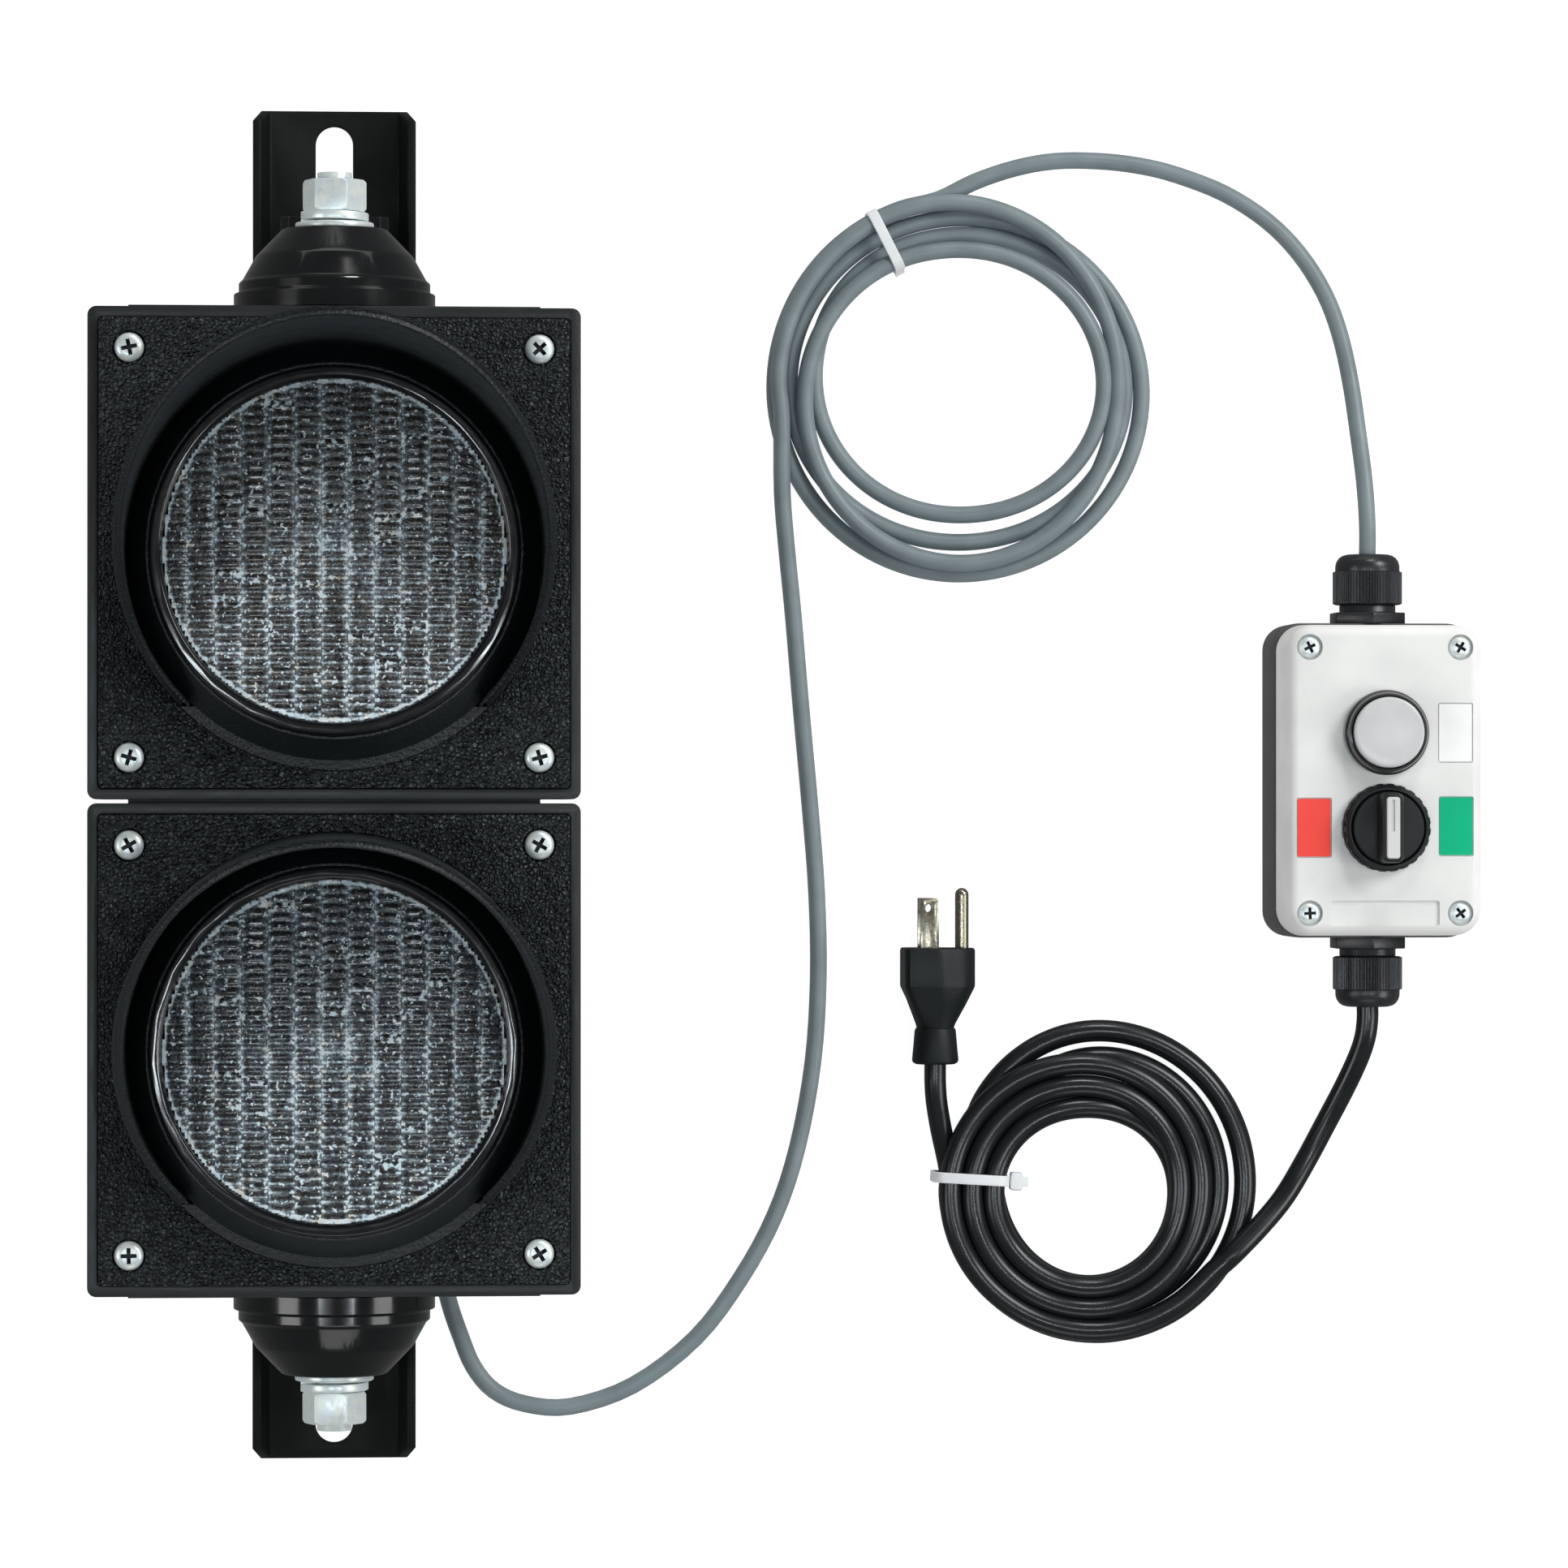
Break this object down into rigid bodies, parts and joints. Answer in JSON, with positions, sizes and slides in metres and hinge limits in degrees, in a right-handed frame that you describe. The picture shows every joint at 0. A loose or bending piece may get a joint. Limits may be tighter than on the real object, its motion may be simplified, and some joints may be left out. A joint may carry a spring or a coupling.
{
  "type": "traffic signal",
  "caption": "Two-aspect LED stop-and-go signal head with cutaway visors, swivelling wall brackets, a wired push-button and selector station, a looped signal cable and a mains cord with plug.",
  "frame": {"origin": "midway between the two wall slots, in the plane of the wall", "axes": "+X across the head towards the control station, +Y up the head, +Z out of the wall towards the viewer"},
  "size_m": [0.4817, 0.473, 0.255],
  "materials": {
    "housing_black": "moulded polycarbonate, fine leather grain",
    "door_black": "moulded polycarbonate, leather grain with a smooth edge",
    "visor_black": "moulded polycarbonate, fine texture inside",
    "lens_clear": "clear moulded lens with rows of small lenslets",
    "ring_black": "glossy black",
    "dome_black": "glossy black moulding",
    "rubber_black": "soft black seal",
    "cup_white": "white reflector",
    "board_green": "solder-masked circuit board",
    "led_clear": "clear emitters",
    "terminal_cream": "cream terminal strip",
    "bracket_black": "black powder coat on steel",
    "zinc_steel": "bright zinc plate",
    "pipe_zinc": "dull zinc plate",
    "station_grey": "light grey moulding, very fine grain",
    "station_base": "dark grey moulding",
    "bezel_smoke": "smoky grey collar",
    "button_white": "grey-white translucent cap",
    "selector_black": "satin black",
    "insert_white": "translucent white insert",
    "label_white": "plain white legend plate",
    "label_green": "plain green legend plate",
    "label_red": "plain red legend plate",
    "contact_dark": "dark contact block",
    "gland_black": "black nylon",
    "cable_grey": "matte blue-grey jacket",
    "cord_black": "satin black jacket",
    "tie_white": "white nylon",
    "plug_black": "moulded black plug",
    "prong_metal": "plated brass"
  },
  "bodies": {
    "signal": {"upper_housing": "housing_black", "lower_housing": "housing_black", "section_nipple": "pipe_zinc", "section_locknuts": "pipe_zinc", "upper_door": "door_black", "lower_door": "door_black", "door_seals": "rubber_black", "door_screws": "zinc_steel", "upper_visor": "visor_black", "lower_visor": "visor_black", "upper_lens": "lens_clear", "lower_lens": "lens_clear", "lens_rings": "ring_black", "lens_gaskets": "rubber_black", "lamp_cups": "cup_white", "led_boards": "board_green", "leds": "led_clear", "terminal_block": "terminal_cream", "cable_grommet": "rubber_black", "box_base": "station_base", "box_cover": "station_grey", "box_seal": "rubber_black", "box_screws": "zinc_steel", "button_bezel": "bezel_smoke", "selector_ring": "selector_black", "operator_nuts": "contact_dark", "contact_blocks": "contact_dark", "label_white": "label_white", "label_green": "label_green", "label_red": "label_red", "gland_bodies": "gland_black", "gland_nuts": "gland_black", "gland_locknuts": "gland_black", "grey_cable_a": "cable_grey", "grey_coil": "cable_grey", "grey_cable_b": "cable_grey", "grey_tie": "tie_white", "black_cord_a": "cord_black", "black_coil": "cord_black", "black_cord_b": "cord_black", "black_tie": "tie_white", "plug_body": "plug_black", "plug_blades": "prong_metal", "plug_pin": "prong_metal"},
    "top_mount": {"top_bracket": "bracket_black", "top_dome": "dome_black", "top_bolt": "zinc_steel", "top_flat_washer": "zinc_steel", "top_spring_washer": "zinc_steel", "top_nut": "zinc_steel"},
    "bottom_mount": {"bottom_bracket": "bracket_black", "bottom_dome": "dome_black", "bottom_bolt": "zinc_steel", "bottom_flat_washer": "zinc_steel", "bottom_spring_washer": "zinc_steel", "bottom_nut": "zinc_steel"},
    "button": {"button_cap": "button_white"},
    "selector": {"selector_knob": "selector_black", "selector_insert": "insert_white"}
  },
  "joints": [
    {"name": "top_swivel", "type": "hinge", "parent": "signal", "child": "top_mount", "pos_m": [0, 0.185, 0.068], "axis": [0, 1, 0], "range_deg": [-23, 23]},
    {"name": "bottom_swivel", "type": "hinge", "parent": "signal", "child": "bottom_mount", "pos_m": [0, -0.197, 0.068], "axis": [0, 1, 0], "range_deg": [-23, 23]},
    {"name": "button_press", "type": "slide", "parent": "signal", "child": "button", "axis": [0, 0, -1], "range_m": [0, 0.0035], "stiffness_N_per_m": 800, "springref_m": -0.003},
    {"name": "selector_turn", "type": "hinge", "parent": "signal", "child": "selector", "pos_m": [0.364, -0.0151, 0.06], "axis": [0, 0, 1], "range_deg": [-45, 45]}
  ],
  "couplings": [
    {"joint": "bottom_swivel", "follows": "top_swivel", "ratio": 1}
  ]
}
